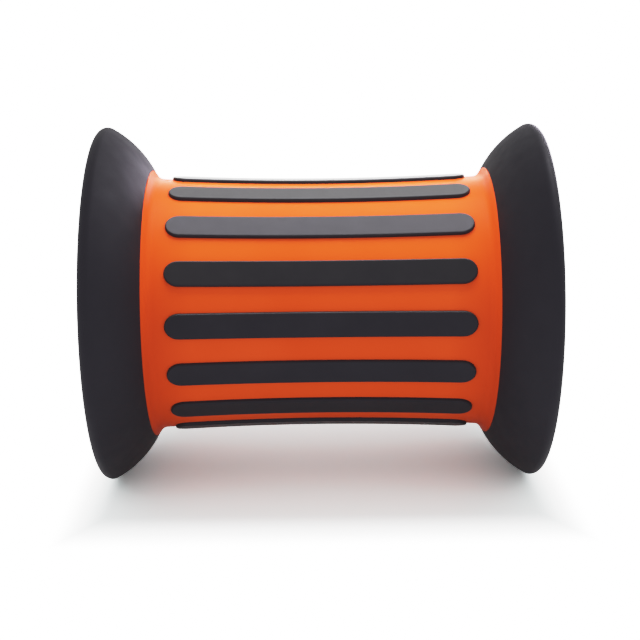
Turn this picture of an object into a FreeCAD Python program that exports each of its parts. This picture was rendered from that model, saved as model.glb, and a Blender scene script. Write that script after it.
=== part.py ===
"""Balance roller: a waisted hard drum with grip strips, soft flared rims and two removable weights.

Frame: the roller's axis is X, +Z is up, and the origin is the middle of the drum on that axis.
Every body of revolution is drawn once for the +X end; the -X end is the same piece turned
half a turn about Z.
"""
import FreeCAD, Part
import math
import os
import re

import Sketcher

# Driving dimensions, in millimetres (angles in degrees, counts as plain numbers).
DIMENSIONS = [
    # where the outline of each turned piece is drawn, clear of every hole, rib and strip
    ("seam_angle", 11.25),
    # drum: a shell of revolution, narrowest in the middle
    ("waist_radius", 136.6),
    ("waist_curve", 3085.0),
    ("drum_wall", 4.5),
    ("flare_start_x", 175.1),
    ("flare_fillet", 11.0),
    ("flare_end_x", 183.5),
    ("flare_end_radius", 146.24),
    ("lip_x", 187.1),
    ("lip_radius", 151.4),
    ("lip_back_x", 190.8),
    ("lip_back_radius", 148.8),
    ("flare_back_x", 187.2),
    ("flare_back_radius", 143.66),
    # rubber rim: crowned inner face, rounded nose, flat ring that the roller can stand on
    ("rim_crown", 111.7),
    ("rim_crown_end_x", 232.3),
    ("rim_crown_end_radius", 198.8),
    ("rim_nose", 8.7),
    ("rim_end_x", 245.2),
    ("rim_flat_outer", 191.2),
    ("rim_flat_inner", 184.0),
    ("rim_bevel_x", 236.0),
    ("rim_bevel_radius", 175.5),
    ("rim_lip_face_x", 231.0),
    ("rim_lip_radius", 166.0),
    # hub: rigid flared ring that carries the rim and closes the drum
    ("hub_wall", 4.5),
    ("hub_spigot_x", 166.0),
    ("hub_face_x", 226.0),
    ("hub_corner_x", 224.0),
    ("hub_corner_radius", 188.1),
    ("hub_face_outer", 186.0),
    ("hub_opening", 152.0),
    ("hub_back_x", 194.8),
    ("hub_back_radius", 146.7),
    ("hub_knee_x", 191.2),
    ("hub_knee_radius", 141.0),
    ("hub_heel_x", 186.0),
    ("hub_heel_radius", 133.2),
    ("hub_landing_back_radius", 180.5),
    ("boss_radius", 7.0),
    ("boss_back_x", 208.0),
    # end plate: dished disc screwed to the hub
    ("plate_face_x", 235.0),
    ("plate_radius", 173.0),
    ("plate_spigot_radius", 165.5),
    ("plate_spigot_inner", 150.7),
    ("dish_rim_radius", 151.0),
    ("dish_foot_radius", 138.0),
    ("dish_floor_x", 214.0),
    ("plate_wall", 4.5),
    ("dish_back_foot_radius", 140.5),
    ("plate_ribs", 8),
    ("rib_width", 6.0),
    ("rib_height", 5.0),
    ("collar_foot_radius", 64.0),
    ("collar_radius", 58.0),
    ("collar_face_x", 226.0),
    ("collar_back_x", 198.0),
    ("collar_back_radius", 53.0),
    # screws and inserts
    ("screw_circle", 159.5),
    ("screw_count", 8),
    ("screw_phase", 22.5),
    ("screw_clearance", 3.2),
    ("screw_radius", 2.9),
    ("screw_tip_x", 213.0),
    ("screw_head_radius", 6.0),
    ("screw_head_height", 3.4),
    ("screw_recess", 1.8),
    ("screw_hex", 1.8),
    ("insert_radius", 4.4),
    ("insert_length", 14.0),
    # grip strips
    ("strip_count", 16),
    ("strip_phase", 19.55),
    ("strip_width", 27.5),
    ("strip_half_length", 164.3),
    ("strip_proud", 3.4),
    ("strip_corner", 13.6),
    ("strip_bevel", 1.0),
    ("peg_pitch", 62.0),
    ("peg_radius", 3.5),
    ("peg_head_radius", 5.5),
    ("peg_head_height", 2.4),
    ("peg_head_gap", 0.3),
    # core tube through the drum
    ("core_bore", 46.0),
    ("core_wall", 2.5),
    ("core_end_x", 212.0),
    # weight: sealed tube of sand with a cap that is gripped to pull it out
    ("weight_radius", 45.0),
    ("weight_wall", 2.5),
    ("weight_inner_x", 26.0),
    ("weight_outer_x", 200.0),
    ("weight_tip_x", 10.0),
    ("spigot_depth", 16.0),
    ("sand_share", 0.6),
    ("cap_wall", 4.0),
    ("cap_flange_radius", 54.0),
    ("cap_flange_x", 230.0),
    ("cap_well_radius", 37.0),
    ("cap_well_x", 210.0),
    ("cap_grip_width", 16.0),
    ("cap_grip_half_length", 33.5),
    ("cap_grip_x", 228.5),
    ("cap_grip_round", 3.0),
    ("cap_stem_radius", 6.0),
    ("cap_stem_head_radius", 9.0),
    ("cap_stem_head_height", 2.0),
    ("seal_section", 2.0),
    ("seal_ring_radius", 43.92),
    ("seal_outer_x", 217.0),
    ("seal_inner_x", 18.0),
    ("seal_groove_depth", 3.1),
    ("seal_groove_width", 4.4),
]

doc = FreeCAD.newDocument("BalanceRoller")
dims = doc.addObject("Spreadsheet::Sheet", "Dims")
for row, (alias, number) in enumerate(DIMENSIONS, start=1):
    dims.set(f"A{row}", alias)
    dims.set(f"B{row}", str(number))
    dims.setAlias(f"B{row}", alias)
doc.recompute()

nodes = []
PEG_STEPS = (-2, -1, 0, 1, 2)
WAIST = "waist"
ALONG = FreeCAD.Vector(1, 0, 0)
ALIAS = re.compile(r"\b(" + "|".join(alias for alias, _ in DIMENSIONS) + r")\b")


def named(text):
    """Turn the sheet's aliases in an expression into references to the sheet."""
    return ALIAS.sub(r"Dims.\1", text)


def value(text):
    """The number that an expression has now."""
    return float(dims.evalExpression(named(text)))


def surface(x, depth="0"):
    """Radius of the drum's waist at x, as an expression, a depth below its outer surface."""
    return f"waist_radius - ({depth}) + ({x}) ^ 2 / (2 * waist_curve)"


def new_body(name):
    """An empty body whose label is the node's name."""
    body = doc.addObject("PartDesign::Body", name)
    body.Label = name
    nodes.append(body)
    return body


def plane(body, role):
    """One of the body's own origin planes."""
    return next(item for item in body.Origin.OriginFeatures if item.Role == role)


def new_sketch(body, name, role, offset=None):
    """A sketch on an origin plane, moved along the plane's normal by an expression."""
    sketch = body.newObject("Sketcher::SketchObject", f"{body.Name}_{name}")
    sketch.AttachmentSupport = [(plane(body, role), "")]
    sketch.MapMode = "FlatFace"
    if offset is not None:
        sketch.setExpression(".AttachmentOffset.Base.z", named(offset))
    return sketch


def pin_point(sketch, geometry, end, across, up):
    """Fix one point of the sketch at two expressions."""
    for kind, text in (("DistanceX", across), ("DistanceY", up)):
        index = sketch.addConstraint(Sketcher.Constraint(kind, -1, 1, geometry, end, value(text)))
        sketch.setExpression(f"Constraints[{index}]", named(text))


def arc_between(start, end, radius, turn):
    """The shorter arc from start to end; turn is +1 for anticlockwise and -1 for clockwise."""
    chord = end - start
    middle = (start + end) * 0.5
    reach = math.sqrt(max(radius ** 2 - (chord.Length / 2) ** 2, 0.0))
    left = FreeCAD.Vector(-chord.y, chord.x, 0).normalize()
    centre = middle + left * reach * turn
    bulge = (middle - centre).normalize() * radius
    return Part.Arc(start, centre + bulge, end)


def waist_between(sketch, start_x, end_x, depth):
    """A stretch of the waist's parabola, as a spline whose middle pole is fixed by expressions."""
    pole = (f"({start_x} + {end_x}) * 0.5",
            f"waist_radius - ({depth}) + ({start_x}) * ({end_x}) / (2 * waist_curve)")
    curve = Part.BezierCurve()
    curve.setPoles([
        FreeCAD.Vector(value(start_x), value(surface(start_x, depth)), 0),
        FreeCAD.Vector(value(pole[0]), value(pole[1]), 0),
        FreeCAD.Vector(value(end_x), value(surface(end_x, depth)), 0),
    ])
    geometry = sketch.addGeometry(curve.toBSpline(), False)
    first_pole = sketch.GeometryCount
    sketch.exposeInternalGeometry(geometry)
    pin_point(sketch, first_pole + 1, 3, *pole)
    return geometry


def outline(sketch, corners):
    """Closed outline. A corner is (x, y) for a line to the next corner, (x, y, radius, turn) for
    an arc to it, or (x, depth) led by WAIST for the waist's curve; all but turn are expressions."""
    at = [(c[1], surface(c[1], c[2])) if c[0] == WAIST else c[:2] for c in corners]
    points = [FreeCAD.Vector(value(across), value(up), 0) for across, up in at]
    ends = []
    for index, corner in enumerate(corners):
        following = (index + 1) % len(corners)
        if corner[0] == WAIST:
            geometry = waist_between(sketch, corner[1], at[following][0], corner[2])
            ends.append((geometry, 1, 2))
        elif len(corner) == 2:
            line = Part.LineSegment(points[index], points[following])
            ends.append((sketch.addGeometry(line, False), 1, 2))
        else:
            arc = arc_between(points[index], points[following], value(corner[2]), corner[3])
            geometry = sketch.addGeometry(arc, False)
            ends.append((geometry, 1, 2) if corner[3] > 0 else (geometry, 2, 1))
            item = sketch.addConstraint(Sketcher.Constraint("Radius", geometry, value(corner[2])))
            sketch.setExpression(f"Constraints[{item}]", named(corner[2]))
    for index, (across, up) in enumerate(at):
        geometry, begin, _ = ends[index]
        before, _, finish = ends[index - 1]
        sketch.addConstraint(Sketcher.Constraint("Coincident", before, finish, geometry, begin))
        pin_point(sketch, geometry, begin, across, up)


def circle(sketch, across, up, radius):
    """A circle with its centre and radius bound to expressions."""
    centre = FreeCAD.Vector(value(across), value(up), 0)
    normal = FreeCAD.Vector(0, 0, 1)
    geometry = sketch.addGeometry(Part.Circle(centre, normal, value(radius)), False)
    pin_point(sketch, geometry, 3, across, up)
    item = sketch.addConstraint(Sketcher.Constraint("Radius", geometry, value(radius)))
    sketch.setExpression(f"Constraints[{item}]", named(radius))


def turned(body, kind, name, corners):
    """Revolve (or groove) an outline of x and radius about the roller's axis."""
    sketch = new_sketch(body, f"{name}_outline", "XZ_Plane")
    sketch.AttachmentOffset = FreeCAD.Placement(FreeCAD.Vector(), FreeCAD.Rotation(ALONG, 1))
    sketch.setExpression(".AttachmentOffset.Rotation.Angle", named("seam_angle"))
    outline(sketch, corners)
    feature = body.newObject(f"PartDesign::{kind}", f"{body.Name}_{name}")
    feature.Profile = sketch
    feature.ReferenceAxis = (sketch, ["H_Axis"])
    feature.Angle = 360.0
    body.Tip = feature
    return feature


def pulled(body, kind, name, sketch, length, reverse=False, symmetric=False):
    """Pad or pocket a sketch by an expression."""
    feature = body.newObject(f"PartDesign::{kind}", f"{body.Name}_{name}")
    feature.Profile = sketch
    feature.setExpression("Length", named(length))
    feature.Reversed = reverse
    if symmetric:
        feature.SideType = "Symmetric"
    body.Tip = feature
    return feature


def around(body, name, original, count):
    """Repeat a feature round the roller's axis."""
    pattern = body.newObject("PartDesign::PolarPattern", f"{body.Name}_{name}")
    pattern.Originals = [original]
    pattern.Axis = (plane(body, "X_Axis"), [""])
    pattern.Angle = 360.0
    pattern.setExpression("Occurrences", named(count))
    body.Tip = pattern
    return pattern


def edges_of(feature, test):
    """Names of the feature's edges that pass a test."""
    doc.recompute()
    return [f"Edge{i}" for i, edge in enumerate(feature.Shape.Edges, start=1) if test(edge)]


def dressed(body, kind, name, feature, names, size):
    """Fillet or chamfer the named edges of a feature."""
    dress = body.newObject(f"PartDesign::{kind}", f"{body.Name}_{name}")
    dress.Base = (feature, names)
    dress.setExpression("Radius" if kind == "Fillet" else "Size", named(size))
    body.Tip = dress
    return dress


def place_side(body, side):
    """Leave the +X piece where it is drawn and turn the -X piece half a turn about Z."""
    angle = 0.0 if side == "right" else 180.0
    body.Placement = FreeCAD.Placement(
        FreeCAD.Vector(0, 0, 0), FreeCAD.Rotation(FreeCAD.Vector(0, 0, 1), angle)
    )


def build_drum():
    body = new_body("drum_shell")
    half = turned(body, "Revolution", "shell", [
        (WAIST, "0", "0"),
        ("flare_start_x", surface("flare_start_x"), "flare_fillet", 1),
        ("flare_end_x", "flare_end_radius"),
        ("lip_x", "lip_radius"),
        ("lip_back_x", "lip_back_radius"),
        ("flare_back_x", "flare_back_radius", "flare_fillet + drum_wall", -1),
        (WAIST, "flare_start_x", "drum_wall"),
        ("0", surface("0", "drum_wall")),
    ])
    mirror = body.newObject("PartDesign::Mirrored", "drum_shell_mirror")
    mirror.Originals = [half]
    mirror.MirrorPlane = (plane(body, "YZ_Plane"), [""])
    body.Tip = mirror
    holes = new_sketch(body, "peg_holes", "XY_Plane")
    holes.AttachmentOffset = FreeCAD.Placement(FreeCAD.Vector(), FreeCAD.Rotation(ALONG, 1))
    holes.setExpression(".AttachmentOffset.Rotation.Angle", named("strip_phase"))
    for step in PEG_STEPS:
        circle(holes, f"{step} * peg_pitch", "0", "peg_radius")
    cut = pulled(body, "Pocket", "peg_hole", holes, "lip_radius", reverse=True)
    around(body, "peg_hole_ring", cut, "strip_count")


def build_strip(number):
    body = new_body(f"grip_strip_{number + 1:02d}")
    side = new_sketch(body, "side", "XZ_Plane")
    outline(side, [
        ("-1 * strip_half_length", "waist_radius - drum_wall"),
        ("strip_half_length", "waist_radius - drum_wall"),
        (WAIST, "strip_half_length", "-1 * strip_proud"),
        ("-1 * strip_half_length", surface("strip_half_length", "-1 * strip_proud")),
    ])
    block = pulled(body, "Pad", "block", side, "strip_width", symmetric=True)
    upright = edges_of(block, lambda e: abs(e.tangentAt(e.FirstParameter).z) > 0.9)
    ends = dressed(body, "Fillet", "ends", block, upright, "strip_corner")
    reach = "strip_half_length + strip_width"
    seat = turned(body, "Groove", "seat", [
        (f"-1 * ({reach})", "0"),
        (reach, "0"),
        (WAIST, reach, "0"),
        (f"-1 * ({reach})", surface(reach)),
    ])
    dressed(body, "Chamfer", "bevel", seat, edges_of(seat, is_top_edge), "strip_bevel")
    for step in PEG_STEPS:
        add_peg(body, step)
    body.Placement = FreeCAD.Placement(FreeCAD.Vector(), FreeCAD.Rotation(ALONG, 1))
    turn = f"strip_phase + {number} * 360 / strip_count"
    body.setExpression(".Placement.Rotation.Angle", named(turn))


def is_top_edge(edge):
    """Whether an edge bounds the flat top of a strip drawn at the top of the drum."""
    span = edge.LastParameter - edge.FirstParameter
    points = [edge.valueAt(edge.FirstParameter + part * span) for part in (0.1, 0.5, 0.9)]
    heights = [value("waist_radius + strip_proud") + p.x ** 2 / value("2 * waist_curve") for p in points]
    return all(abs(point.z - height) < 0.01 for point, height in zip(points, heights))


def add_peg(body, step):
    """A peg through the drum wall with a head behind it."""
    x = f"({step} * peg_pitch)"
    inside = surface(x, "drum_wall")
    parts = (
        ("shank", "peg_radius", f"{inside} - peg_head_gap - peg_head_height * 0.5",
         "drum_wall + strip_proud * 0.5 + peg_head_gap + peg_head_height * 0.5"),
        ("head", "peg_head_radius", f"{inside} - peg_head_gap - peg_head_height", "peg_head_height"),
    )
    for name, radius, base, height in parts:
        solid = body.newObject("PartDesign::AdditiveCylinder", f"{body.Name}_{name}_{step + 2}")
        solid.AttachmentSupport = [(plane(body, "XY_Plane"), "")]
        solid.MapMode = "FlatFace"
        solid.Refine = False
        solid.setExpression("Radius", named(radius))
        solid.setExpression("Height", named(height))
        solid.setExpression(".AttachmentOffset.Base.x", named(x))
        solid.setExpression(".AttachmentOffset.Base.z", named(base))
        body.Tip = solid


def build_rim(side):
    body = new_body(f"{side}_rim")
    turned(body, "Revolution", "rubber", [
        ("lip_x", "lip_radius", "rim_crown", -1),
        ("rim_crown_end_x", "rim_crown_end_radius", "rim_nose", -1),
        ("rim_end_x", "rim_flat_outer"),
        ("rim_end_x", "rim_flat_inner"),
        ("rim_bevel_x", "rim_bevel_radius"),
        ("rim_lip_face_x", "rim_bevel_radius"),
        ("rim_lip_face_x", "rim_lip_radius"),
        ("hub_face_x", "rim_lip_radius"),
        ("hub_face_x", "hub_face_outer"),
        ("hub_corner_x", "hub_corner_radius", "rim_crown - hub_wall", 1),
        ("lip_back_x", "lip_back_radius"),
    ])
    place_side(body, side)


def build_hub(side):
    body = new_body(f"{side}_hub")
    turned(body, "Revolution", "ring", [
        (WAIST, "hub_spigot_x", "drum_wall"),
        ("flare_start_x", surface("flare_start_x", "drum_wall"), "flare_fillet + drum_wall", 1),
        ("flare_back_x", "flare_back_radius"),
        ("lip_back_x", "lip_back_radius", "rim_crown - hub_wall", -1),
        ("hub_corner_x", "hub_corner_radius"),
        ("hub_face_x", "hub_face_outer"),
        ("hub_face_x", "hub_opening"),
        ("hub_face_x - hub_wall", "hub_opening"),
        ("hub_face_x - hub_wall", "hub_landing_back_radius", "rim_crown - 2 * hub_wall", 1),
        ("hub_back_x", "hub_back_radius"),
        ("hub_knee_x", "hub_knee_radius"),
        ("hub_heel_x", "hub_heel_radius"),
        ("hub_spigot_x", surface("hub_spigot_x", "drum_wall + hub_wall")),
    ])
    boss = add_boss(body, "Pad", "boss", "boss_back_x", "boss_radius",
                    "hub_face_x - boss_back_x - hub_wall * 0.5")
    around(body, "bosses", boss, "screw_count")
    bore = add_boss(body, "Pocket", "bore", "hub_face_x", "insert_radius", "insert_length")
    around(body, "bores", bore, "screw_count")
    place_side(body, side)


def add_boss(body, kind, name, base_x, radius, length):
    """A round pad, or a round hole bored inwards, on the screw circle."""
    sketch = new_sketch(body, name, "YZ_Plane", base_x)
    circle(sketch, "screw_circle * sin(screw_phase)", "screw_circle * cos(screw_phase)", radius)
    return pulled(body, kind, f"{name}_one", sketch, length)


def build_end_plate(side):
    body = new_body(f"{side}_end_plate")
    core_radius = "core_bore + core_wall"
    turned(body, "Revolution", "disc", [
        ("rim_lip_face_x", "plate_radius"),
        ("plate_face_x - 1", "plate_radius", "1", -1),
        ("plate_face_x", "plate_radius - 1"),
        ("plate_face_x", "dish_rim_radius"),
        ("dish_floor_x", "dish_foot_radius"),
        ("dish_floor_x", "collar_foot_radius"),
        ("collar_face_x", "collar_radius"),
        ("collar_face_x", "core_bore"),
        ("core_end_x", "core_bore"),
        ("core_end_x", core_radius),
        ("collar_back_x", core_radius),
        ("collar_back_x", "collar_back_radius"),
        ("dish_floor_x - plate_wall", "collar_back_radius"),
        ("dish_floor_x - plate_wall", "dish_back_foot_radius"),
        ("hub_face_x", "plate_spigot_inner"),
        ("hub_face_x", "plate_spigot_radius"),
        ("rim_lip_face_x", "plate_spigot_radius"),
    ])
    rib = new_sketch(body, "rib", "YZ_Plane", "dish_floor_x - 1")
    inner = "collar_foot_radius - 3"
    outer = "dish_foot_radius + plate_wall - 0.5"
    outline(rib, [
        ("-0.5 * rib_width", inner),
        ("0.5 * rib_width", inner),
        ("0.5 * rib_width", outer),
        ("-0.5 * rib_width", outer),
    ])
    one_rib = pulled(body, "Pad", "rib_one", rib, "rib_height + 1")
    around(body, "ribs", one_rib, "plate_ribs")
    hole = add_boss(body, "Pocket", "hole", "plate_face_x", "screw_clearance",
                    "plate_face_x - hub_face_x + 1")
    around(body, "holes", hole, "screw_count")
    place_side(body, side)


def build_screws(side):
    """The ring of pan-head screws that hold one end plate, as separate solids."""
    screw = fastener("screw_head_radius", "plate_face_x", "screw_head_height",
                     "screw_radius", "screw_tip_x")
    ring_of(f"{side}_end_screws", side, screw)


def fastener(head_radius, seat_x, head_height, shank_radius, tip_x):
    """A pan head with a hexagon socket, on a plain shank."""
    at = FreeCAD.Vector(0, 0, value("screw_circle"))
    seat = at + ALONG * value(seat_x)
    head = Part.makeCylinder(value(head_radius), value(head_height), seat, ALONG)
    crown = [edge for edge in head.Edges if abs(edge.CenterOfMass.x - seat.x - value(head_height)) < 0.01]
    head = head.makeFillet(value(head_height) * 0.45, [e for e in crown if e.Closed])
    shank_base = at + ALONG * value(tip_x)
    shank = Part.makeCylinder(value(shank_radius), seat.x - shank_base.x, shank_base, ALONG)
    socket_floor = seat.x + value(head_height) - value("screw_recess")
    corners = [
        FreeCAD.Vector(socket_floor,
                       value("screw_hex") * math.cos(math.radians(60 * i)),
                       at.z + value("screw_hex") * math.sin(math.radians(60 * i)))
        for i in range(7)
    ]
    socket = Part.Face(Part.makePolygon(corners)).extrude(ALONG * value("screw_recess") * 2)
    return head.fuse(shank).cut(socket).removeSplitter()


def ring_of(name, side, solid):
    """Copies of a solid round the axis, as one node."""
    count = int(value("screw_count"))
    copies = []
    for i in range(count):
        copy = solid.copy()
        copy.rotate(FreeCAD.Vector(), ALONG, value("screw_phase") + 360.0 * i / count)
        copies.append(copy)
    feature = doc.addObject("Part::Feature", name)
    feature.Label = name
    feature.Shape = Part.makeCompound(copies)
    place_side(feature, side)
    nodes.append(feature)


def build_inserts(side):
    """Brass threaded inserts in the hub's bosses."""
    base = FreeCAD.Vector(value("hub_face_x - insert_length"), 0, value("screw_circle"))
    outside = Part.makeCylinder(value("insert_radius"), value("insert_length"), base, ALONG)
    bore = Part.makeCylinder(value("screw_radius"), value("insert_length"), base, ALONG)
    ring_of(f"{side}_end_inserts", side, outside.cut(bore))


def build_core_tube():
    body = new_body("core_tube")
    turned(body, "Revolution", "pipe", [
        ("-1 * core_end_x", "core_bore"),
        ("core_end_x", "core_bore"),
        ("core_end_x", "core_bore + core_wall"),
        ("-1 * core_end_x", "core_bore + core_wall"),
    ])


def build_weight_tube(side):
    body = new_body(f"{side}_weight_tube")
    turned(body, "Revolution", "pipe", [
        ("weight_inner_x", "weight_radius - weight_wall"),
        ("weight_outer_x", "weight_radius - weight_wall"),
        ("weight_outer_x", "weight_radius"),
        ("weight_inner_x", "weight_radius"),
    ])
    place_side(body, side)


def groove_corners(centre):
    """The three sides of a seal groove, from the inner end of the roller outwards."""
    floor = "weight_radius - seal_groove_depth"
    near = f"{centre} - seal_groove_width * 0.5"
    far = f"{centre} + seal_groove_width * 0.5"
    return [(near, "weight_radius"), (near, floor), (far, floor), (far, "weight_radius")]


def build_weight_cap(side):
    body = new_body(f"{side}_weight_cap")
    inside = "weight_radius - weight_wall"
    turned(body, "Revolution", "cap", [
        ("cap_well_x - cap_wall", "cap_stem_radius"),
        ("cap_well_x - cap_wall", f"{inside} - cap_wall"),
        ("weight_outer_x - spigot_depth", f"{inside} - cap_wall"),
        ("weight_outer_x - spigot_depth", inside),
        ("weight_outer_x", inside),
        ("weight_outer_x", "weight_radius"),
        *groove_corners("seal_outer_x"),
        ("collar_face_x", "weight_radius"),
        ("collar_face_x", "cap_flange_radius"),
        ("cap_flange_x - 2", "cap_flange_radius", "2", -1),
        ("cap_flange_x", "cap_flange_radius - 2"),
        ("cap_flange_x", "cap_well_radius"),
        ("cap_well_x", "cap_well_radius - 2"),
        ("cap_well_x", "cap_stem_radius"),
    ])
    place_side(body, side)


def build_weight_grip(side):
    """The bar across the cap's well, and the stem that is headed over behind the cap's floor."""
    body = new_body(f"{side}_weight_grip")
    bar = new_sketch(body, "bar", "XY_Plane")
    shoulder = "cap_grip_x - cap_grip_round"
    edge = "(0.5 * cap_grip_width - cap_grip_round)"
    outline(bar, [
        ("cap_well_x", "-0.5 * cap_grip_width"),
        (shoulder, "-0.5 * cap_grip_width", "cap_grip_round", 1),
        ("cap_grip_x", f"-1 * {edge}"),
        ("cap_grip_x", edge, "cap_grip_round", 1),
        (shoulder, "0.5 * cap_grip_width"),
        ("cap_well_x", "0.5 * cap_grip_width"),
    ])
    pulled(body, "Pad", "grip", bar, "2 * cap_grip_half_length", symmetric=True)
    floor_back = "cap_well_x - cap_wall"
    turned(body, "Revolution", "stem", [
        (f"{floor_back} - cap_stem_head_height", "0"),
        (f"{floor_back} - cap_stem_head_height", "cap_stem_head_radius"),
        (floor_back, "cap_stem_head_radius"),
        (floor_back, "cap_stem_radius"),
        ("cap_well_x + 1", "cap_stem_radius"),
        ("cap_well_x + 1", "0"),
    ])
    place_side(body, side)


def build_weight_plug(side):
    body = new_body(f"{side}_weight_plug")
    inside = "weight_radius - weight_wall"
    turned(body, "Revolution", "plug", [
        ("weight_tip_x", "0"),
        ("weight_tip_x", "weight_radius - 2"),
        ("weight_tip_x + 2", "weight_radius"),
        *groove_corners("seal_inner_x"),
        ("weight_inner_x", "weight_radius"),
        ("weight_inner_x", inside),
        ("weight_inner_x + spigot_depth", inside),
        ("weight_inner_x + spigot_depth", f"{inside} - cap_wall"),
        ("weight_tip_x + cap_wall", f"{inside} - cap_wall"),
        ("weight_tip_x + cap_wall", "0"),
    ])
    place_side(body, side)


def build_sand(side):
    """The sand, as a plug with the volume of its grains, in the middle of the tube's cavity."""
    body = new_body(f"{side}_sand_fill")
    middle = "(weight_inner_x + weight_outer_x) * 0.5"
    reach = "(weight_outer_x - weight_inner_x - 2 * spigot_depth) * 0.5 * sand_share"
    turned(body, "Revolution", "sand", [
        (f"{middle} - {reach}", "0"),
        (f"{middle} - {reach}", "weight_radius - weight_wall"),
        (f"{middle} + {reach}", "weight_radius - weight_wall"),
        (f"{middle} + {reach}", "0"),
    ])
    place_side(body, side)


def build_seal(side, end):
    """One rubber ring that grips the core tube and keeps the weight from sliding out."""
    body = doc.addObject("Part::Torus", f"{side}_{end}_seal")
    body.Label = f"{side}_{end}_seal"
    body.setExpression("Radius1", named("seal_ring_radius"))
    body.setExpression("Radius2", named("seal_section"))
    sign = 1 if side == "right" else -1
    body.Placement = FreeCAD.Placement(
        FreeCAD.Vector(0, 0, 0), FreeCAD.Rotation(FreeCAD.Vector(0, 1, 0), 90)
    )
    body.setExpression(".Placement.Base.x", named(f"{sign} * seal_{end}_x"))
    nodes.append(body)


build_drum()
for strip in range(int(value("strip_count"))):
    build_strip(strip)
build_core_tube()
for end_side in ("left", "right"):
    build_hub(end_side)
    build_rim(end_side)
    build_end_plate(end_side)
    build_screws(end_side)
    build_inserts(end_side)
    build_weight_tube(end_side)
    build_weight_cap(end_side)
    build_weight_grip(end_side)
    build_weight_plug(end_side)
    build_sand(end_side)
    for seal_end in ("outer", "inner"):
        build_seal(end_side, seal_end)
doc.recompute()

for item in doc.Objects:
    if "Invalid" in item.State or "Error" in item.State:
        raise RuntimeError(f"{item.Name} failed: {item.State}")
for node in nodes:
    if node.Shape.isNull() or not node.Shape.isValid():
        raise RuntimeError(f"{node.Label} has no valid shape")

os.makedirs("parts", exist_ok=True)
for node in nodes:
    node.Shape.exportStep(f"parts/{node.Label}.step")
    print(f"{node.Label}: {len(node.Shape.Solids)} solid(s), {node.Shape.Volume / 1000:.1f} cm3")
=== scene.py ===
"""Looks of the balance roller: turned shells and rims, moulded grip strips, a white studio."""
import math

import bmesh
import bpy
from mathutils import Matrix, Vector


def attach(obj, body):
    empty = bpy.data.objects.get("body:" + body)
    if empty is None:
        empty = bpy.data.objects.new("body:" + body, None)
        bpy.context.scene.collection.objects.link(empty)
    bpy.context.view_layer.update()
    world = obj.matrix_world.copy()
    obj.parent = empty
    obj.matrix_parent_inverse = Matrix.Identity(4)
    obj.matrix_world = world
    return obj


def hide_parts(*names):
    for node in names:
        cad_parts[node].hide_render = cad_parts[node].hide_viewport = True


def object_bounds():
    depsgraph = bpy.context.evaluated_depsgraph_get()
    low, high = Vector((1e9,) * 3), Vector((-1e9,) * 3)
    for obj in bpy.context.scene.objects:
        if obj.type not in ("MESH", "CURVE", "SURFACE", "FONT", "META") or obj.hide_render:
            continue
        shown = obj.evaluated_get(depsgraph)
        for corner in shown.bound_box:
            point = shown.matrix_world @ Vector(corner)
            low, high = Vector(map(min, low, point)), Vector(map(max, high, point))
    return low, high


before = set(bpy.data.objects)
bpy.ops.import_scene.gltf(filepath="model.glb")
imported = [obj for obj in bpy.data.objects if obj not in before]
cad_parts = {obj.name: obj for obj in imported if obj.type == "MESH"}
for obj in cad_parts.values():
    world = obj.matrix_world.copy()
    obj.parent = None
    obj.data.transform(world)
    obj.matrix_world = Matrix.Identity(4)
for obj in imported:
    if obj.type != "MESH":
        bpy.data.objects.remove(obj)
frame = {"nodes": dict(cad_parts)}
cad_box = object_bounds()

MM = 0.001
SIDES = {"left": -1, "right": 1}

# Shapes are built in millimetres, measured from the roller's axis and its middle.

# Fineness of the meshes: steps round each turned piece and in small roundings.
DRUM_TURNS = 256
RIM_TURNS = 320
PLATE_TURNS = 192
WEIGHT_TURNS = 128
STEM_TURNS = 48
ROUNDING_STEPS = 5
BEVEL_SEGMENTS = 3

# Points closer than this are one point.
WELD_DISTANCE = 1e-4

# Drum; points are (distance from the middle, radius).
WAIST_RADIUS = 136.6
WAIST_CURVE = 3085.0  # radius of the waist's curve lengthwise
DRUM_WALL = 4.5
FLARE_START = 175.1
FLARE_FILLET = 11.0
FLARE_END = (183.5, 146.24)
LIP = (187.1, 151.4)
LIP_BACK = (190.8, 148.8)
LIP_ROUNDING = 0.8
FLARE_BACK = (187.2, 143.66)
WAIST_STEPS = 48
INNER_WAIST_STEPS = 24
FLARE_STEPS = 10
FLARE_BACK_STEPS = 8

# Rim.
CROWN_RADIUS = 111.7
CROWN_END = (232.3, 198.8)
NOSE_RADIUS = 8.7
RIM_FLAT = (245.2, 191.2)
RIM_WALL = 4.5
RIM_HEEL = (224.0, 188.1)
SEAM_GAP = 0.1
SEAM_ROUNDING = 0.9
SEAM_TANGENT = (6.0, 11.5)
CROWN_STEPS = 40
NOSE_STEPS = 16
RIM_BACK_STEPS = 20

# Strips.
STRIP_COUNT = 16
STRIP_PHASE = 19.55
STRIP_WIDTH = 27.5
STRIP_HALF_LENGTH = 164.3
STRIP_PROUD = 3.4
STRIP_ROOT = -1.2
STRIP_END_STRETCH = 1.12
STRIP_STRAIGHT_HALF = STRIP_HALF_LENGTH - STRIP_WIDTH / 2 * STRIP_END_STRETCH
STRIP_STEPS_ALONG = 40
STRIP_STEPS_ROUND = 14
STRIP_SHARP_DEGREES = 50

# A strip's edge from its root up and in: inset from its outline, height above the drum.
STRIP_EDGE = [
    (0.0, STRIP_ROOT), (0.05, 0.3), (0.22, STRIP_PROUD - 1.3), (0.26, STRIP_PROUD - 1.12),
    (0.36, STRIP_PROUD - 0.96), (1.2, STRIP_PROUD - 0.12), (1.34, STRIP_PROUD - 0.03),
    (1.5, STRIP_PROUD), (2.8, STRIP_PROUD),
]

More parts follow.
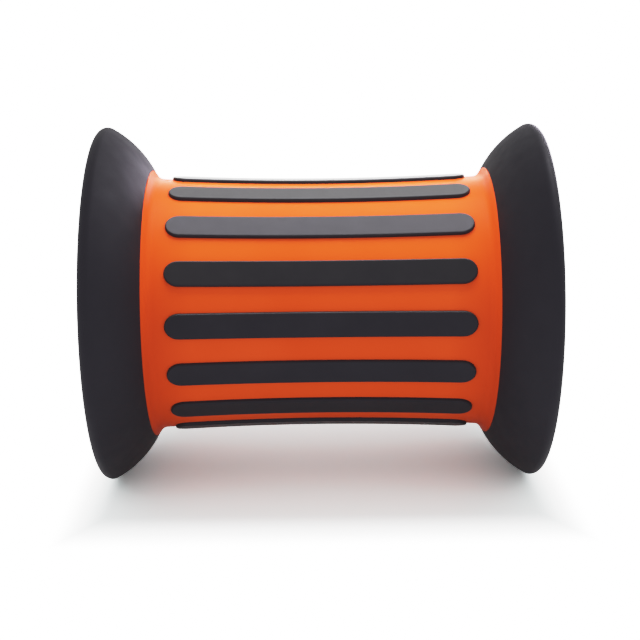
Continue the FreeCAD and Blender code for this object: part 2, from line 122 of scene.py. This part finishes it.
# End plate ribs: their reach along the axis, half thickness, and start and end from the axis.
RIB_COUNT = 8
RIB_ALONG = (212.0, 219.0)
RIB_HALF_THICKNESS = 3.0
RIB_FROM_AXIS = (61.5, 141.5)
RIB_ROUNDING = 1.2

# Grip bar of a weight.
BAR_ALONG = (207.0, 228.5)
BAR_HALF_WIDTH = 8.0
BAR_HALF_LENGTH = 33.5
BAR_ROUNDING = 2.8


# ---------------------------------------------------------------- outlines and meshes

def surface(x, depth=0.0):
    """Radius of the drum's waist at x, a depth below its outer surface."""
    return WAIST_RADIUS - depth + x * x / (2 * WAIST_CURVE)


def waist(start, end, depth, steps):
    """Points along the waist's curve, both ends included."""
    stations = [start + (end - start) * i / steps for i in range(steps + 1)]
    return [(x, surface(x, depth)) for x in stations]


def arc(start, end, radius, turn, steps):
    """Points of the shorter arc from start to end, without its start; turn is +1 anticlockwise."""
    a, b = Vector(start), Vector(end)
    chord = b - a
    reach = math.sqrt(max(radius ** 2 - (chord.length / 2) ** 2, 0.0))
    left = Vector((-chord.y, chord.x)).normalized()
    centre = (a + b) / 2 + left * reach * turn
    first = math.atan2(a.y - centre.y, a.x - centre.x)
    sweep = turn * 2 * math.asin(min(chord.length / (2 * radius), 1.0))
    return [
        (centre.x + radius * math.cos(first + sweep * i / steps),
         centre.y + radius * math.sin(first + sweep * i / steps))
        for i in range(1, steps + 1)
    ]


def rounded(corners):
    """Closed outline of corners (x, r, rounding), each rounded by an arc that touches both sides."""
    points = []
    count = len(corners)
    for i, (x, r, rounding) in enumerate(corners):
        here = Vector((x, r))
        if rounding <= 0:
            points.append((x, r))
            continue
        before = (Vector(corners[i - 1][:2]) - here).normalized()
        after = (Vector(corners[(i + 1) % count][:2]) - here).normalized()
        half = math.acos(max(-1.0, min(1.0, before.dot(after)))) / 2
        reach = rounding / math.tan(half)
        start, end = here + before * reach, here + after * reach
        turn = 1 if (-before).cross(after) > 0 else -1
        points.append(tuple(start))
        points += arc(start, end, rounding, turn, ROUNDING_STEPS)
    return points


def mesh_object(name, mesh, sharp_degrees=40):
    """An object with smooth shading that keeps its hard edges."""
    obj = bpy.data.objects.new(name, mesh)
    bpy.context.scene.collection.objects.link(obj)
    mesh.polygons.foreach_set("use_smooth", [True] * len(mesh.polygons))
    mesh.set_sharp_from_angle(angle=math.radians(sharp_degrees))
    return obj


def finish_mesh(name, bm, sharp_degrees=40):
    """Turn a bmesh in millimetres into an object in metres with outward normals."""
    bmesh.ops.remove_doubles(bm, verts=bm.verts, dist=WELD_DISTANCE)
    bmesh.ops.recalc_face_normals(bm, faces=bm.faces)
    bmesh.ops.scale(bm, vec=(MM, MM, MM), verts=bm.verts)
    mesh = bpy.data.meshes.new(name)
    bm.to_mesh(mesh)
    bm.free()
    return mesh_object(name, mesh, sharp_degrees)


def turned_rings(bm, outline, steps):
    """Add the surface made by turning a closed outline of (x, r) about the X axis."""
    angles = [2 * math.pi * k / steps for k in range(steps)]
    rings = [
        [bm.verts.new((x, -r * math.sin(angle), r * math.cos(angle))) for angle in angles]
        for x, r in outline
    ]
    for i, ring in enumerate(rings):
        following = rings[(i + 1) % len(rings)]
        join_rings(bm, ring, following)


def join_rings(bm, low, high):
    """Quads between two rings with the same number of points."""
    for k, _ in enumerate(low):
        j = (k + 1) % len(low)
        bm.faces.new((low[k], low[j], high[j], high[k]))


def turned(name, outline, steps):
    """A closed piece made by turning an outline."""
    bm = bmesh.new()
    turned_rings(bm, outline, steps)
    return finish_mesh(name, bm)


def mirrored(outline, sign):
    """The outline for the +X end, or the same one for the -X end."""
    return outline if sign > 0 else [(-x, r) for x, r in reversed(outline)]


def block(bm, low, high, rounding, matrix=Matrix.Identity(4)):
    """Add a box with rounded edges, then move it by the matrix."""
    made = bmesh.ops.create_cube(bm, size=1.0)["verts"]
    size = Vector(high) - Vector(low)
    centre = (Vector(high) + Vector(low)) / 2
    bmesh.ops.scale(bm, vec=size, verts=made)
    bmesh.ops.translate(bm, vec=centre, verts=made)
    edges = list({e for v in made for e in v.link_edges})
    bevelled = bmesh.ops.bevel(
        bm, geom=edges, offset=rounding, segments=BEVEL_SEGMENTS, affect="EDGES", profile=0.5,
    )
    bmesh.ops.transform(bm, matrix=matrix, verts=bevelled["verts"])


# ---------------------------------------------------------------- pieces

def drum_outline():
    """Outer skin from one lip to the other, then back along the inside."""
    outer = waist(-FLARE_START, FLARE_START, 0.0, WAIST_STEPS)
    flare = arc(outer[-1], FLARE_END, FLARE_FILLET, 1, FLARE_STEPS)
    lip = rounded([
        (*FLARE_END, 0), (*LIP, LIP_ROUNDING), (*LIP_BACK, LIP_ROUNDING), (*FLARE_BACK, 0),
    ])[1:-1]
    inner_end = (FLARE_START, surface(FLARE_START, DRUM_WALL))
    back = [FLARE_BACK] + arc(FLARE_BACK, inner_end, FLARE_FILLET + DRUM_WALL, -1, FLARE_BACK_STEPS)
    right = flare + lip + back
    inner = waist(FLARE_START, -FLARE_START, DRUM_WALL, INNER_WAIST_STEPS)[1:-1]
    return outer + right + inner + mirrored(right, -1)


def build_drum():
    """The orange shell, waisted, with a flared lip at each end."""
    skin = turned("drum_skin", drum_outline(), DRUM_TURNS)
    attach(skin, "roller")
    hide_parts("drum_shell")
    return skin


def strip_plan(inset):
    """Outline of a strip seen from above, drawn in by an inset: (x, y) points, anticlockwise."""
    half_width = STRIP_WIDTH / 2 - inset
    reach = STRIP_WIDTH / 2 * STRIP_END_STRETCH - inset
    points = []
    for side in (1, -1):
        for i in range(STRIP_STEPS_ROUND + 1):
            angle = math.pi * (i / STRIP_STEPS_ROUND - 0.5)
            x = STRIP_STRAIGHT_HALF + reach * math.cos(angle)
            points.append((side * x, side * half_width * math.sin(angle)))
        points += [(side * x, side * half_width) for x in strip_stations()[1:-1]]
    return points


def strip_stations():
    """Where a strip has points along its straight part, from +X to -X, both ends included."""
    return [
        STRIP_STRAIGHT_HALF * (1 - 2 * i / STRIP_STEPS_ALONG) for i in range(STRIP_STEPS_ALONG + 1)
    ]


def build_strip(number):
    """One moulded strip: steep wall, narrow bevel, flat top that follows the waist lengthwise."""
    bm = bmesh.new()
    rings = [
        [bm.verts.new((x, y, surface(x) + height)) for x, y in strip_plan(inset)]
        for inset, height in STRIP_EDGE
    ]
    top, bottom = (
        [bm.verts.new((x, 0.0, surface(x) + height)) for x in strip_stations()]
        for height in (STRIP_PROUD, STRIP_ROOT)
    )
    for low, high in zip(rings, rings[1:]):
        join_rings(bm, low, high)
    cover(bm, rings[-1], top)
    cover(bm, rings[0], bottom)
    strip = finish_mesh(f"strip_{number + 1:02d}", bm, STRIP_SHARP_DEGREES)
    turn = math.radians(STRIP_PHASE + number * 360 / STRIP_COUNT)
    strip.data.transform(Matrix.Rotation(turn, 4, "X"))
    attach(strip, "roller")
    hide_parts(f"grip_strip_{number + 1:02d}")
    return strip


def cover(bm, ring, spine):
    """Close a strip-shaped ring onto its middle line."""
    size = len(ring)
    half = size // 2
    for k in range(STRIP_STEPS_ROUND):
        bm.faces.new((ring[k], ring[k + 1], spine[0]))
        bm.faces.new((ring[half + k], ring[half + k + 1], spine[-1]))
    for start, middle in ((STRIP_STEPS_ROUND, spine), (half + STRIP_STEPS_ROUND, spine[::-1])):
        for i in range(STRIP_STEPS_ALONG):
            a, b = (start + i) % size, (start + i + 1) % size
            bm.faces.new((ring[a], ring[b], middle[i + 1], middle[i]))


def rim_outline():
    """The rubber rim's section: crowned inner face, round nose, flat ring, lip under the end plate."""
    back = (LIP_BACK[0] + SEAM_GAP, LIP_BACK[1] + SEAM_GAP)
    crown_way = (LIP[0] + SEAM_TANGENT[0], LIP[1] + SEAM_TANGENT[1])
    seam = rounded([(*back, 0), (*LIP, SEAM_ROUNDING), (*crown_way, 0)])[1:-1]
    crown = arc(LIP, CROWN_END, CROWN_RADIUS, -1, CROWN_STEPS)[2:]
    nose = arc(CROWN_END, RIM_FLAT, NOSE_RADIUS, -1, NOSE_STEPS)
    end = rounded([
        (*RIM_FLAT, 0), (RIM_FLAT[0], 184.0, 1.5), (236.0, 175.5, 1.2), (231.0, 175.5, 0.3),
        (231.0, 166.0, 0.6), (226.0, 166.0, 0), (226.0, 186.0, 0), (*RIM_HEEL, 0),
    ])[1:]
    under = arc(RIM_HEEL, back, CROWN_RADIUS - RIM_WALL, 1, RIM_BACK_STEPS)
    return seam + crown + nose + end + under


def build_rim(side, sign):
    """One flared rubber rim."""
    rim = turned(f"rim_{side}", mirrored(rim_outline(), sign), RIM_TURNS)
    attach(rim, "roller")
    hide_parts(f"{side}_rim")
    return rim


def plate_outline():
    """Dished end plate: clamped edge, sloping wall, flat floor, collar with the bore."""
    return rounded([
        (231.0, 173.0, 0.3), (235.0, 173.0, 1.4), (235.0, 151.0, 2.0), (214.0, 138.0, 4.0),
        (214.0, 64.0, 4.0), (226.0, 58.0, 1.5), (226.0, 46.0, 0.8), (212.0, 46.0, 0),
        (212.0, 48.5, 0), (198.0, 48.5, 0), (198.0, 53.0, 0.5), (209.5, 53.0, 1.5),
        (209.5, 140.5, 2.0), (226.0, 150.7, 0), (226.0, 165.5, 0), (231.0, 165.5, 0),
    ])


def plate_rib(bm, sign, angle):
    """One low rib on the plate's floor, with rounded edges."""
    near, far = sorted(sign * x for x in RIB_ALONG)
    low = (near, -RIB_HALF_THICKNESS, RIB_FROM_AXIS[0])
    high = (far, RIB_HALF_THICKNESS, RIB_FROM_AXIS[1])
    block(bm, low, high, RIB_ROUNDING, Matrix.Rotation(angle, 4, "X"))


def build_end_plate(side, sign):
    """One end plate and its ribs."""
    plate = turned(f"end_plate_{side}", mirrored(plate_outline(), sign), PLATE_TURNS)
    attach(plate, "roller")
    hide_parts(f"{side}_end_plate")
    ribs = bmesh.new()
    for k in range(RIB_COUNT):
        plate_rib(ribs, sign, 2 * math.pi * k / RIB_COUNT)
    rib_piece = finish_mesh(f"plate_ribs_{side}", ribs)
    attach(rib_piece, "roller")
    return [plate, rib_piece]


def cap_outline():
    """Weight cap: flange, bored floor behind the grip bar, seal groove and spigot."""
    return rounded([
        (206.0, 6.0, 0), (206.0, 38.5, 0), (184.0, 38.5, 0), (184.0, 42.5, 0.5),
        (200.0, 42.5, 0), (200.0, 45.0, 0.3), (214.8, 45.0, 0.2), (214.8, 41.9, 0),
        (219.2, 41.9, 0), (219.2, 45.0, 0.2), (226.0, 45.0, 0), (226.0, 54.0, 0.4),
        (230.0, 54.0, 1.8), (230.0, 37.0, 1.0), (210.0, 35.0, 2.0), (210.0, 6.0, 0),
    ])


def stem_outline():
    """The grip bar's stem through the cap's floor, with its head behind the floor."""
    return rounded([
        (204.0, 0.0, 0), (204.0, 9.0, 0.5), (206.0, 9.0, 0),
        (206.0, 6.0, 0), (211.0, 6.0, 0), (211.0, 0.0, 0),
    ])


def build_cap(side, sign):
    """A weight's cap, and its grip bar with the stem."""
    cap = turned(f"cap_{side}", mirrored(cap_outline(), sign), WEIGHT_TURNS)
    bar = bmesh.new()
    near, far = sorted(sign * x for x in BAR_ALONG)
    low = (near, -BAR_HALF_WIDTH, -BAR_HALF_LENGTH)
    high = (far, BAR_HALF_WIDTH, BAR_HALF_LENGTH)
    block(bar, low, high, BAR_ROUNDING)
    turned_rings(bar, mirrored(stem_outline(), sign), STEM_TURNS)
    grip = finish_mesh(f"cap_grip_{side}", bar)
    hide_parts(f"{side}_weight_cap")
    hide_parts(f"{side}_weight_grip")
    for piece in (cap, grip):
        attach(piece, f"{side}_weight")
    return [cap, grip]


def tube_outline():
    """Wall of a weight's sand tube."""
    return rounded([(26.0, 42.5, 0), (200.0, 42.5, 0), (200.0, 45.0, 0.4), (26.0, 45.0, 0.4)])


def plug_outline():
    """Plug in a weight's inner end: chamfered disc, seal groove and spigot."""
    return rounded([
        (10.0, 0.0, 0), (10.0, 43.0, 0.8), (12.0, 45.0, 0.8), (15.8, 45.0, 0.2), (15.8, 41.9, 0),
        (20.2, 41.9, 0), (20.2, 45.0, 0.2), (26.0, 45.0, 0.2), (26.0, 42.5, 0), (42.0, 42.5, 0),
        (42.0, 38.5, 0), (14.0, 38.5, 0), (14.0, 0.0, 0),
    ])


def build_weight(side, sign):
    """A weight's tube and the plug in its inner end."""
    case = turned(f"weight_case_{side}", mirrored(tube_outline(), sign), WEIGHT_TURNS)
    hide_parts(f"{side}_weight_tube")
    plug = turned(f"weight_end_{side}", mirrored(plug_outline(), sign), WEIGHT_TURNS)
    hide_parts(f"{side}_weight_plug")
    for piece in (case, plug):
        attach(piece, f"{side}_weight")
    return case, plug


# ---------------------------------------------------------------- materials

# Pairs of linear colours; noise blends each pair in patches.
ORANGES = ((0.71, 0.070, 0.0100), (0.76, 0.081, 0.0135))
STRIP_BLACKS = ((0.0115, 0.0100, 0.0142), (0.0147, 0.0128, 0.0176))
RIM_BLACKS = ((0.0105, 0.0092, 0.0136), (0.0129, 0.0113, 0.0163))
PLASTIC_BLACKS = ((0.018, 0.018, 0.020), (0.028, 0.028, 0.030))
PLASTIC_GREYS = ((0.17, 0.175, 0.18), (0.22, 0.225, 0.23))
SEAL_BLACKS = ((0.012, 0.012, 0.012), (0.02, 0.02, 0.02))
STEELS = ((0.42, 0.42, 0.42), (0.62, 0.62, 0.62))
BRASSES = ((0.55, 0.37, 0.12), (0.78, 0.56, 0.22))
SANDS = ((0.42, 0.32, 0.19), (0.72, 0.60, 0.42))

# Shade painted on the orange next to the rims: its colour, where it starts and is full (metres from the
# middle), its strength.
PAINTED_SHADE_ORANGE = (0.55, 0.048, 0.007)
PAINTED_SHADE_START = 0.135
PAINTED_SHADE_FULL = 0.18
PAINTED_SHADE_MOST = 0.8

# Gloss of the three surfaces that show most, and the violet tint of the rubbers' sheen.
PLASTIC_IOR = 1.5
ORANGE_GLOSS = 0.013
STRIP_GLOSS = 0.155
STRIP_SHEEN = (0.84, 0.8, 1.0, 1.0)
RIM_GLOSS = 0.2
RIM_SHEEN = (0.86, 0.82, 1.0, 1.0)

# Roughness: the middle value of the hidden parts.
BLACK_ROUGHNESS = 0.45
GREY_ROUGHNESS = 0.42
SEAL_ROUGHNESS = 0.55
METAL_ROUGHNESS = 0.3

# Scales of the noise that scratches metal: the marks run across the screws and along the inserts.
SCREW_MARKS = (1.0, 0.2, 1.0)
INSERT_MARKS = (0.2, 1.0, 1.0)

# Sockets of a colour Mix node.
MIX_FIRST = 6
MIX_SECOND = 7
MIX_RESULT = 2


class Shader:
    """A node material with short calls for the few nodes these materials need."""

    def __init__(self, name, **inputs):
        self.material = bpy.data.materials.new(name)
        self.material.use_nodes = True
        self.nodes = self.material.node_tree.nodes
        self.links = self.material.node_tree.links
        self.shader = self.nodes["Principled BSDF"]
        self.place = self.nodes.new("ShaderNodeTexCoord").outputs["Object"]
        for socket, number in inputs.items():
            self.shader.inputs[socket.replace("_", " ")].default_value = number

    def noise(self, scale, detail=2.0, roughness=0.5, stretch=None):
        """Noise at a scale in features per metre, stretched along an axis when asked."""
        node = self.nodes.new("ShaderNodeTexNoise")
        node.inputs["Scale"].default_value = scale
        node.inputs["Detail"].default_value = detail
        node.inputs["Roughness"].default_value = roughness
        where = self.place
        if stretch is not None:
            mapping = self.nodes.new("ShaderNodeMapping")
            mapping.inputs["Scale"].default_value = stretch
            self.links.new(where, mapping.inputs["Vector"])
            where = mapping.outputs["Vector"]
        self.links.new(where, node.inputs["Vector"])
        return node.outputs["Fac"]

    def spread(self, value, low, high, start=0.3, end=0.7):
        """Map a noise value from start..end to low..high."""
        node = self.nodes.new("ShaderNodeMapRange")
        node.inputs["From Min"].default_value = start
        node.inputs["From Max"].default_value = end
        node.inputs["To Min"].default_value = low
        node.inputs["To Max"].default_value = high
        self.links.new(value, node.inputs["Value"])
        return node.outputs["Result"]

    def near_ends(self, start, end, most):
        """0 in the roller's middle, rising between two distances from it along X."""
        split = self.nodes.new("ShaderNodeSeparateXYZ")
        self.links.new(self.place, split.inputs["Vector"])
        away = self.nodes.new("ShaderNodeMath")
        away.operation = "ABSOLUTE"
        self.links.new(split.outputs["X"], away.inputs[0])
        return self.spread(away.outputs["Value"], 0.0, most, start, end)

    def mix(self, factor, first, second):
        """Blend two colours by a factor."""
        node = self.nodes.new("ShaderNodeMix")
        node.data_type = "RGBA"
        self.links.new(factor, node.inputs["Factor"])
        for socket, colour in ((node.inputs[MIX_FIRST], first), (node.inputs[MIX_SECOND], second)):
            if isinstance(colour, tuple):
                socket.default_value = (*colour, 1.0)
            else:
                self.links.new(colour, socket)
        return node.outputs[MIX_RESULT]

    def patches(self, value, colours):
        """Blend a pair of colours in patches by a noise value."""
        return self.mix(self.spread(value, 0.0, 1.0), *colours)

    def bump(self, layers):
        """Stack bump layers of (height, distance in metres, strength)."""
        normal = None
        for height, distance, strength in layers:
            node = self.nodes.new("ShaderNodeBump")
            node.inputs["Distance"].default_value = distance
            node.inputs["Strength"].default_value = strength
            self.links.new(height, node.inputs["Height"])
            if normal is not None:
                self.links.new(normal, node.inputs["Normal"])
            normal = node.outputs["Normal"]
        self.links.new(normal, self.shader.inputs["Normal"])

    def drive(self, socket, value):
        """Feed a value or colour to one of the shader's sockets."""
        self.links.new(value, self.shader.inputs[socket])


def orange_plastic():
    """Satin moulded plastic: faint swirls, shade painted darker and redder near the rims, orange peel,
    hairline scuffs.
    """
    s = Shader("orange_plastic", Specular_IOR_Level=ORANGE_GLOSS, IOR=PLASTIC_IOR)
    unshaded_orange = s.patches(s.noise(9.0, 3.0), ORANGES)
    # Painted shade: the orange turns darker and redder towards each end, next to the rims.
    painted_shade = s.near_ends(PAINTED_SHADE_START, PAINTED_SHADE_FULL, PAINTED_SHADE_MOST)
    s.drive("Base Color", s.mix(painted_shade, unshaded_orange, PAINTED_SHADE_ORANGE))
    scuffs = s.noise(60.0, 4.0, 0.6, (0.25, 1.0, 1.0))
    s.drive("Roughness", s.spread(scuffs, 0.30, 0.40))
    s.bump([(s.noise(38.0, 1.0), 0.0004, 0.25), (s.noise(1300.0, 2.0), 0.00004, 0.35)])
    return s.material


def strip_rubber():
    """Smooth dense rubber with a satin face, a fine grain and slightly greyed patches."""
    s = Shader(
        "strip_rubber", Specular_IOR_Level=STRIP_GLOSS, IOR=PLASTIC_IOR, Specular_Tint=STRIP_SHEEN,
    )
    s.drive("Base Color", s.patches(s.noise(24.0, 4.0, 0.6), STRIP_BLACKS))
    s.drive("Roughness", s.spread(s.noise(90.0, 3.0), 0.34, 0.42))
    s.bump([(s.noise(1700.0, 2.0), 0.00005, 0.4), (s.noise(120.0, 1.0), 0.00012, 0.2)])
    return s.material


def rim_rubber():
    """Softer, duller rubber with a bloom that greys it in patches."""
    s = Shader("rim_rubber", Specular_IOR_Level=RIM_GLOSS, IOR=PLASTIC_IOR, Specular_Tint=RIM_SHEEN)
    s.drive("Base Color", s.patches(s.noise(7.0, 5.0, 0.6), RIM_BLACKS))
    s.drive("Roughness", s.spread(s.noise(45.0, 4.0), 0.54, 0.64))
    s.bump([(s.noise(1100.0, 3.0), 0.00010, 0.45), (s.noise(22.0, 1.0), 0.0006, 0.2)])
    return s.material


def plain_plastic(name, colours, roughness):
    """Moulded plastic or rubber with a fine spark-eroded grain."""
    s = Shader(name, Specular_IOR_Level=0.5, IOR=PLASTIC_IOR)
    s.drive("Base Color", s.patches(s.noise(30.0, 3.0), colours))
    s.drive("Roughness", s.spread(s.noise(80.0, 3.0), roughness - 0.05, roughness + 0.05))
    s.bump([(s.noise(1500.0, 2.0), 0.00006, 0.4)])
    return s.material


def metal(name, colours, marks):
    """Metal with fine directional marks."""
    s = Shader(name, Metallic=1.0)
    s.drive("Base Color", s.patches(s.noise(200.0, 2.0), colours))
    scratches = s.noise(300.0, 3.0, 0.6, marks)
    s.drive("Roughness", s.spread(scratches, METAL_ROUGHNESS - 0.08, METAL_ROUGHNESS + 0.1))
    s.bump([(s.noise(900.0, 2.0, 0.5, marks), 0.00004, 0.3)])
    return s.material


def sand_grains():
    """Packed dry sand."""
    s = Shader("sand_grains", Roughness=0.95)
    s.drive("Base Color", s.patches(s.noise(1800.0, 3.0), SANDS))
    s.bump([(s.noise(1500.0, 3.0), 0.0004, 0.8)])
    return s.material


def dress(obj, material):
    """Give an object one material in every slot."""
    slots = obj.data.materials
    if not slots:
        slots.append(material)
    for i in range(len(obj.material_slots)):
        obj.material_slots[i].material = material


# ---------------------------------------------------------------- studio

CAMERA_DISTANCE = 1.491
CAMERA_ASIDE = -0.0149
CAMERA_HEIGHT_ANGLE = 13.0
CAMERA_YAW = 0.562
CAMERA_PITCH = -1.775
CAMERA_ROLL = -0.616
CAMERA_LENS = 72.9
CAMERA_SHIFT = 0.034
SENSOR = 36.0

# Light levels: the white that the camera sees, and what the surroundings and the far floor shed.
WHITE = 2.6
WORLD_GLOW = 0.64
FLOOR_GLOW = 0.82

# The floor's colour to the other surfaces and to the camera, and where it fades to white (metres).
FLOOR_HALF_SIZE = 40.0
FLOOR_LIT = (0.9, 0.9, 0.9)
FLOOR_SEEN = (1.74, 1.9, 1.9)
FLOOR_FADES = [("X", 0.23, 0.285), ("X", -0.23, -0.285), ("Y", -0.15, -0.24), ("Y", 0.22, 0.45)]

# Panels: name, place, size, radiance, colour, how they light a surface, whether they light the rims.
PLAIN = (1.0, 1.0, 1.0)
PANELS = [
    ("overhead", (0.0, 0.12, 1.24), (1.0, 0.8), 12.4, (0.88, 1.0, 0.5), {"diffuse"}, False),
    ("sheen_above", (0.0, 0.12, 1.2), (1.0, 0.8), 10.6, PLAIN, {"glossy"}, False),
    ("key_right", (0.7, 0.3, 1.05), (0.6, 0.5), 5.5, PLAIN, {"diffuse", "glossy"}, True),
    ("low_front", (0.0, -1.6, -0.05), (0.8, 0.3), 1.2, PLAIN, {"diffuse"}, True),
    ("backdrop_glow", (0.1, 1.6, 0.78), (1.4, 0.9), 5.7, PLAIN, {"glossy"}, False),
    ("sheen_right", (1.0, 1.8, 0.4), (1.0, 0.8), 7.5, (0.92, 0.84, 1.0), {"glossy"}, True),
]

# Scene light to picture tone.
TONE_CURVE = [
    (0.0, 0.006), (0.05, 0.066), (0.1, 0.135), (0.2, 0.275), (0.35, 0.48), (0.5, 0.63), (0.8, 0.77),
    (1.3, 0.87), (2.0, 0.94), (WHITE, 1.0),
]
COMBINED_CURVE = 3


def tilt(first, second, angle):
    """Two directions at right angles, each turned in their plane; the first moves toward the second."""
    cosine, sine = math.cos(angle), math.sin(angle)
    return first * cosine + second * sine, second * cosine - first * sine


def add_camera():
    """Camera a little above the axis, aimed close to it; the angles are small corrections of aim."""
    height, yaw, pitch, roll = (
        math.radians(angle) for angle in (CAMERA_HEIGHT_ANGLE, CAMERA_YAW, CAMERA_PITCH, CAMERA_ROLL)
    )
    right = Vector((1, 0, 0))
    ahead = Vector((0, math.cos(height), -math.sin(height)))
    up = Vector((0, math.sin(height), math.cos(height)))
    place = Vector((CAMERA_ASIDE, 0, 0)) - ahead * CAMERA_DISTANCE
    ahead, right = tilt(ahead, right, yaw)
    ahead, up = tilt(ahead, up, pitch)
    right, up = tilt(right, up, roll)
    data = bpy.data.cameras.new("camera")
    data.sensor_width = SENSOR
    data.lens = CAMERA_LENS
    data.shift_y = CAMERA_SHIFT
    data.dof.use_dof = False
    camera = bpy.data.objects.new("camera", data)
    basis = Matrix((right, up, -ahead)).transposed().to_4x4()
    camera.matrix_world = Matrix.Translation(place) @ basis
    bpy.context.scene.collection.objects.link(camera)
    bpy.context.scene.camera = camera


def add_panel(name, place, size, radiance, colour):
    """A soft rectangular light aimed at the roller's middle, unseen by the camera itself."""
    data = bpy.data.lights.new(name, "AREA")
    data.shape = "RECTANGLE"
    data.size, data.size_y = size
    data.energy = radiance * math.pi * size[0] * size[1]
    data.color = colour
    panel = bpy.data.objects.new(name, data)
    panel.location = place
    panel.rotation_euler = (-Vector(place)).to_track_quat("-Z", "Y").to_euler()
    panel.visible_camera = False
    bpy.context.scene.collection.objects.link(panel)
    return panel


def add_world(seen, shed):
    """White surroundings that the camera sees brighter than they light the object."""
    world = bpy.data.worlds.new("studio")
    bpy.context.scene.world = world
    world.use_nodes = True
    nodes, links = world.node_tree.nodes, world.node_tree.links
    background = nodes["Background"]
    background.inputs["Color"].default_value = (1, 1, 1, 1)
    path = nodes.new("ShaderNodeLightPath")
    level = nodes.new("ShaderNodeMapRange")
    level.inputs["To Min"].default_value = shed
    level.inputs["To Max"].default_value = seen
    links.new(path.outputs["Is Camera Ray"], level.inputs["Value"])
    links.new(level.outputs["Result"], background.inputs["Strength"])


def floor_paper():
    """White paper, brighter to the camera than to the roller, that fades to plain white around it."""
    material = bpy.data.materials.new("floor_paper")
    material.use_nodes = True
    nodes, links = material.node_tree.nodes, material.node_tree.links
    nodes.remove(nodes["Principled BSDF"])
    seen = nodes.new("ShaderNodeLightPath").outputs["Is Camera Ray"]
    shade = nodes.new("ShaderNodeMix")
    shade.data_type = "RGBA"
    shade.inputs[MIX_FIRST].default_value = (*FLOOR_LIT, 1)
    shade.inputs[MIX_SECOND].default_value = (*FLOOR_SEEN, 1)
    links.new(seen, shade.inputs["Factor"])
    paper = nodes.new("ShaderNodeBsdfDiffuse")
    links.new(shade.outputs[MIX_RESULT], paper.inputs["Color"])
    level = nodes.new("ShaderNodeMapRange")
    level.inputs["To Min"].default_value = FLOOR_GLOW
    level.inputs["To Max"].default_value = WHITE
    links.new(seen, level.inputs["Value"])
    glow = nodes.new("ShaderNodeEmission")
    links.new(level.outputs["Result"], glow.inputs["Strength"])
    place = nodes.new("ShaderNodeSeparateXYZ")
    links.new(nodes.new("ShaderNodeTexCoord").outputs["Object"], place.inputs["Vector"])
    fades = []
    for axis, near, far in FLOOR_FADES:
        fade = nodes.new("ShaderNodeMapRange")
        fade.interpolation_type = "SMOOTHSTEP"
        fade.inputs["From Min"].default_value = near
        fade.inputs["From Max"].default_value = far
        links.new(place.outputs[axis], fade.inputs["Value"])
        fades.append(fade.outputs["Result"])
    total = fades[0]
    for fade in fades[1:]:
        most = nodes.new("ShaderNodeMath")
        most.operation = "MAXIMUM"
        links.new(total, most.inputs[0])
        links.new(fade, most.inputs[1])
        total = most.outputs["Value"]
    blend = nodes.new("ShaderNodeMixShader")
    links.new(total, blend.inputs["Fac"])
    links.new(paper.outputs["BSDF"], blend.inputs[1])
    links.new(glow.outputs["Emission"], blend.inputs[2])
    links.new(blend.outputs["Shader"], nodes["Material Output"].inputs["Surface"])
    return material


def add_floor(level):
    """A pale floor under the roller."""
    bm = bmesh.new()
    bmesh.ops.create_grid(bm, x_segments=8, y_segments=8, size=FLOOR_HALF_SIZE)
    mesh = bpy.data.meshes.new("floor")
    bm.to_mesh(mesh)
    bm.free()
    mesh.materials.append(floor_paper())
    floor = bpy.data.objects.new("floor", mesh)
    floor.location.z = level
    bpy.context.scene.collection.objects.link(floor)
    return floor


def spare(light, objects):
    """Let a light pass over some objects."""
    group = bpy.data.collections.new(f"{light.name}_spares")
    for obj in objects:
        group.objects.link(obj)
    for member in group.collection_objects:
        member.light_linking.link_state = "EXCLUDE"
    light.light_linking.receiver_collection = group


def set_tones():
    """A print-like tone curve: blacks a little lifted, a soft shoulder over the bright half."""
    view = bpy.context.scene.view_settings
    view.view_transform = "Standard"
    view.use_curve_mapping = True
    mapping = view.curve_mapping
    brightest = TONE_CURVE[-1][0]
    mapping.white_level = (brightest,) * 3
    points = mapping.curves[COMBINED_CURVE].points
    for light, tone in TONE_CURVE[1:-1]:
        points.new(light / brightest, tone)
    points[0].location = (0.0, TONE_CURVE[0][1])
    mapping.update()


def build_studio(rims):
    """Camera, floor and lights; the panels leave the floor to the world, which shades it softly."""
    add_camera()
    floor = add_floor(cad_box[0][2])
    for name, place, size, radiance, colour, ways, lights_rims in PANELS:
        panel = add_panel(name, place, size, radiance, colour)
        panel.visible_diffuse = "diffuse" in ways
        panel.visible_glossy = "glossy" in ways
        spare(panel, [floor] if lights_rims else [floor, *rims])
    add_world(WHITE, WORLD_GLOW)
    set_tones()


# ---------------------------------------------------------------- assembly

orange = orange_plastic()
dress(build_drum(), orange)
rubber = strip_rubber()
for strip_number in range(STRIP_COUNT):
    dress(build_strip(strip_number), rubber)
soft_rubber = rim_rubber()
black = plain_plastic("black_plastic", PLASTIC_BLACKS, BLACK_ROUGHNESS)
grey = plain_plastic("grey_plastic", PLASTIC_GREYS, GREY_ROUGHNESS)
seal = plain_plastic("seal_rubber", SEAL_BLACKS, SEAL_ROUGHNESS)
steel = metal("screw_steel", STEELS, SCREW_MARKS)
brass = metal("insert_brass", BRASSES, INSERT_MARKS)
sand = sand_grains()

nodes = frame["nodes"]
rim_pieces = []
for end, toward in SIDES.items():
    rim_piece = build_rim(end, toward)
    dress(rim_piece, soft_rubber)
    rim_pieces.append(rim_piece)
    for plate_piece in build_end_plate(end, toward):
        dress(plate_piece, orange)
    for cap_piece in build_cap(end, toward):
        dress(cap_piece, black)
    tube_case, tube_end = build_weight(end, toward)
    dress(tube_case, grey)
    dress(tube_end, black)
    dress(nodes[f"{end}_hub"], black)
    dress(nodes[f"{end}_end_screws"], steel)
    dress(nodes[f"{end}_end_inserts"], brass)
    dress(nodes[f"{end}_sand_fill"], sand)
    dress(nodes[f"{end}_outer_seal"], seal)
    dress(nodes[f"{end}_inner_seal"], seal)
dress(nodes["core_tube"], grey)

build_studio(rim_pieces)
